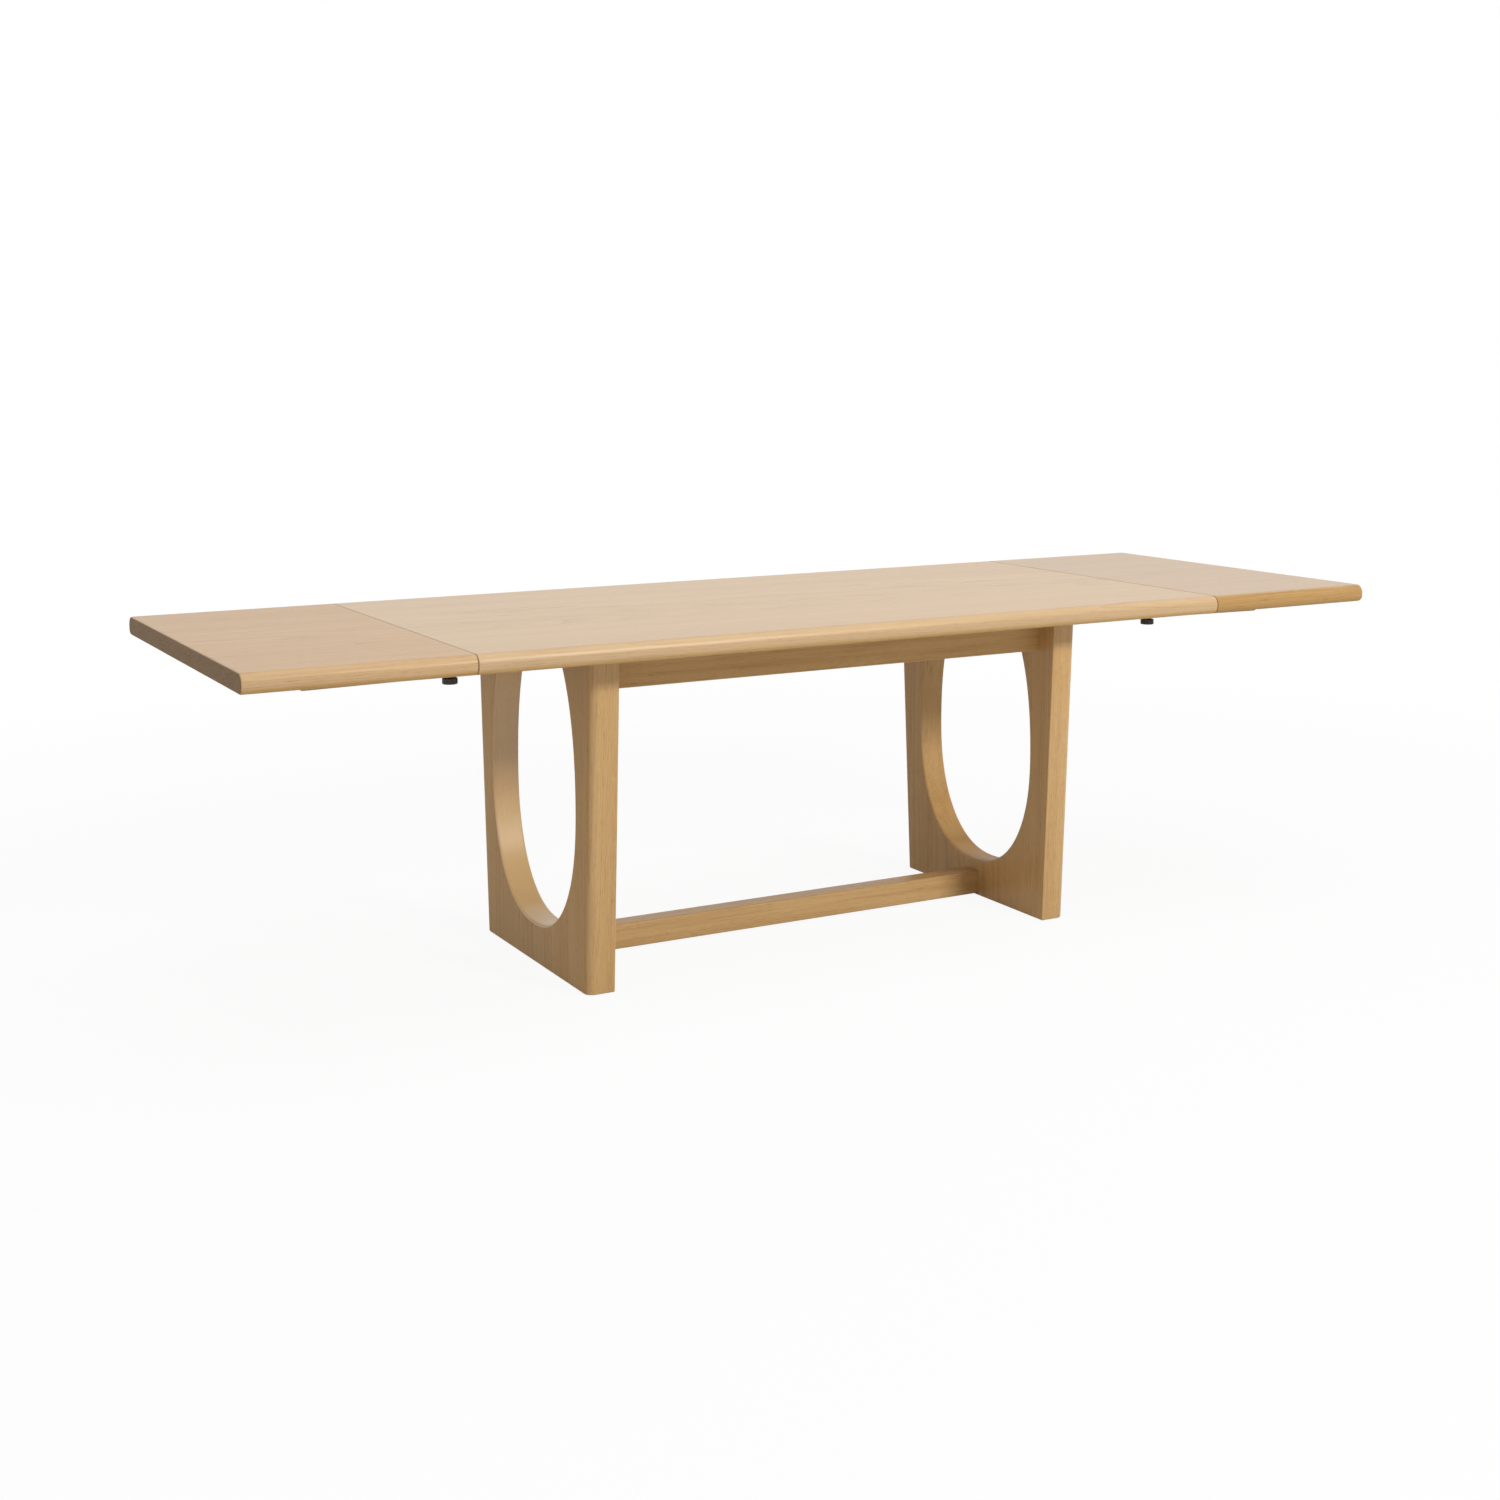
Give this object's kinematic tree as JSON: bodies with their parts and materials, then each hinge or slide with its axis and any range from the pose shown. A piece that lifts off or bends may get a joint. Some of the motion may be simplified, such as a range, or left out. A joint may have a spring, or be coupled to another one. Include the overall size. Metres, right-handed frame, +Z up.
{
  "type": "draw leaf table",
  "caption": "Oak trestle dining table with egg-shaped openings, a low stretcher and end leaves that draw out on forked bearers locked by hand knobs.",
  "frame": {"origin": "on the floor under the middle of the table", "axes": "+X along the table's length, to the right as seen from the front; +Y to the back; +Z up"},
  "size_m": [2.7, 0.925, 0.755],
  "materials": {
    "top_oak": "matt clear lacquer",
    "left_leaf_oak": "matt clear lacquer",
    "right_leaf_oak": "matt clear lacquer",
    "left_trestle_oak": "matt clear lacquer",
    "right_trestle_oak": "matt clear lacquer",
    "head_rail_oak": "matt clear lacquer",
    "apron_oak": "matt clear lacquer",
    "stretcher_oak": "matt clear lacquer",
    "bearer_oak": "waxed",
    "guide_beech": "waxed",
    "dowel_beech": "bare",
    "knob_plastic": "moulded, fine grain",
    "glide_plastic": "moulded",
    "zinc_steel": "zinc plated",
    "insert_brass": "turned"
  },
  "bodies": {
    "frame": {"apron_bolts": "zinc_steel", "apron_nuts": "zinc_steel", "back_apron": "apron_oak", "button_screws": "zinc_steel", "floor_glides": "glide_plastic", "front_apron": "apron_oak", "guide_screws": "zinc_steel", "head_rail_screws": "zinc_steel", "knob_inserts": "insert_brass", "left_back_guide_inner": "guide_beech", "left_back_guide_outer": "guide_beech", "left_front_guide_inner": "guide_beech", "left_front_guide_outer": "guide_beech", "left_head_rail": "head_rail_oak", "left_trestle": "left_trestle_oak", "main_top": "top_oak", "right_back_guide_inner": "guide_beech", "right_back_guide_outer": "guide_beech", "right_front_guide_inner": "guide_beech", "right_front_guide_outer": "guide_beech", "right_head_rail": "head_rail_oak", "right_trestle": "right_trestle_oak", "stretcher": "stretcher_oak", "stretcher_bolts": "zinc_steel", "stretcher_nuts": "zinc_steel", "top_buttons": "guide_beech"},
    "left_leaf_set": {"left_leaf": "left_leaf_oak", "left_leaf_dowels": "dowel_beech", "left_bearer_screws": "zinc_steel", "left_front_bearer": "bearer_oak", "left_back_bearer": "bearer_oak"},
    "right_leaf_set": {"right_leaf": "right_leaf_oak", "right_leaf_dowels": "dowel_beech", "right_bearer_screws": "zinc_steel", "right_front_bearer": "bearer_oak", "right_back_bearer": "bearer_oak"},
    "left_front_knob_set": {"left_front_knob": "knob_plastic", "left_front_knob_stud": "zinc_steel"},
    "left_back_knob_set": {"left_back_knob": "knob_plastic", "left_back_knob_stud": "zinc_steel"},
    "right_front_knob_set": {"right_front_knob": "knob_plastic", "right_front_knob_stud": "zinc_steel"},
    "right_back_knob_set": {"right_back_knob": "knob_plastic", "right_back_knob_stud": "zinc_steel"}
  },
  "joints": [
    {"name": "left_leaf_draw", "type": "slide", "parent": "frame", "child": "left_leaf_set", "axis": [-1, 0, 0], "range_m": [0, 0.2]},
    {"name": "right_leaf_draw", "type": "slide", "parent": "frame", "child": "right_leaf_set", "axis": [1, 0, 0], "range_m": [0, 0.2]},
    {"name": "left_front_knob_turn", "type": "hinge", "parent": "frame", "child": "left_front_knob_set", "pos_m": [-0.8765, -0.24, 0.672], "axis": [0, 0, -1], "range_deg": [0, 180]},
    {"name": "left_back_knob_turn", "type": "hinge", "parent": "frame", "child": "left_back_knob_set", "pos_m": [-0.8765, 0.24, 0.672], "axis": [0, 0, -1], "range_deg": [0, 180]},
    {"name": "right_front_knob_turn", "type": "hinge", "parent": "frame", "child": "right_front_knob_set", "pos_m": [0.8765, -0.24, 0.672], "axis": [0, 0, -1], "range_deg": [0, 180]},
    {"name": "right_back_knob_turn", "type": "hinge", "parent": "frame", "child": "right_back_knob_set", "pos_m": [0.8765, 0.24, 0.672], "axis": [0, 0, -1], "range_deg": [0, 180]}
  ]
}
